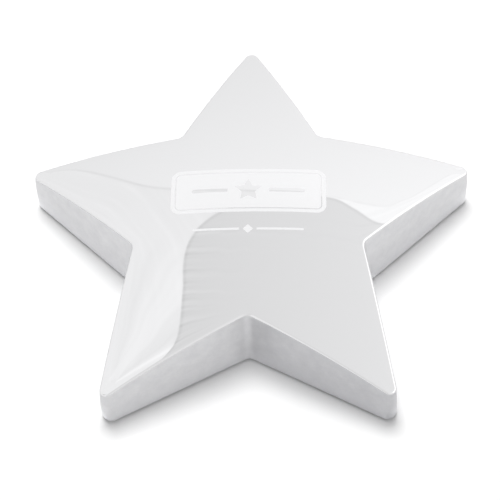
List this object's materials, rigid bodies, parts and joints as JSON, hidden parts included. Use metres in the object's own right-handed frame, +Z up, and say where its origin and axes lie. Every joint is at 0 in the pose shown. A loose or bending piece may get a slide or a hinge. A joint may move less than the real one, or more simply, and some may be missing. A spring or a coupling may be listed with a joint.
{
  "type": "star award",
  "caption": "Five-pointed star desk award that lies flat: domed polished casting, steel weights inside, screwed cover and felt base.",
  "frame": {"origin": "on the felt's underside, on the five-fold axis of the star", "axes": "+Z up through the dome, +Y towards the upper point, +X along the width over the two side points"},
  "size_m": [0.1, 0.0954, 0.0198],
  "materials": {
    "polished_chrome": "mirror polished plated zinc casting, satin side walls",
    "foam": "closed-cell foam sheet, matte",
    "weight_steel": "hot-rolled steel plate, cut edges",
    "zinc_plated_steel": "bright zinc plated",
    "cover_steel": "zinc plated sheet, matte",
    "film": "double-sided adhesive film",
    "felt": "pressed black felt"
  },
  "bodies": {
    "root": {"star_shell": "polished_chrome", "foam_pad": "foam", "weight_small": "weight_steel", "weight_medium": "weight_steel", "weight_large": "weight_steel", "weight_screw": "zinc_plated_steel", "base_cover": "cover_steel", "cover_screws": "zinc_plated_steel", "adhesive_film": "film", "base_felt": "felt"}
  },
  "joints": []
}
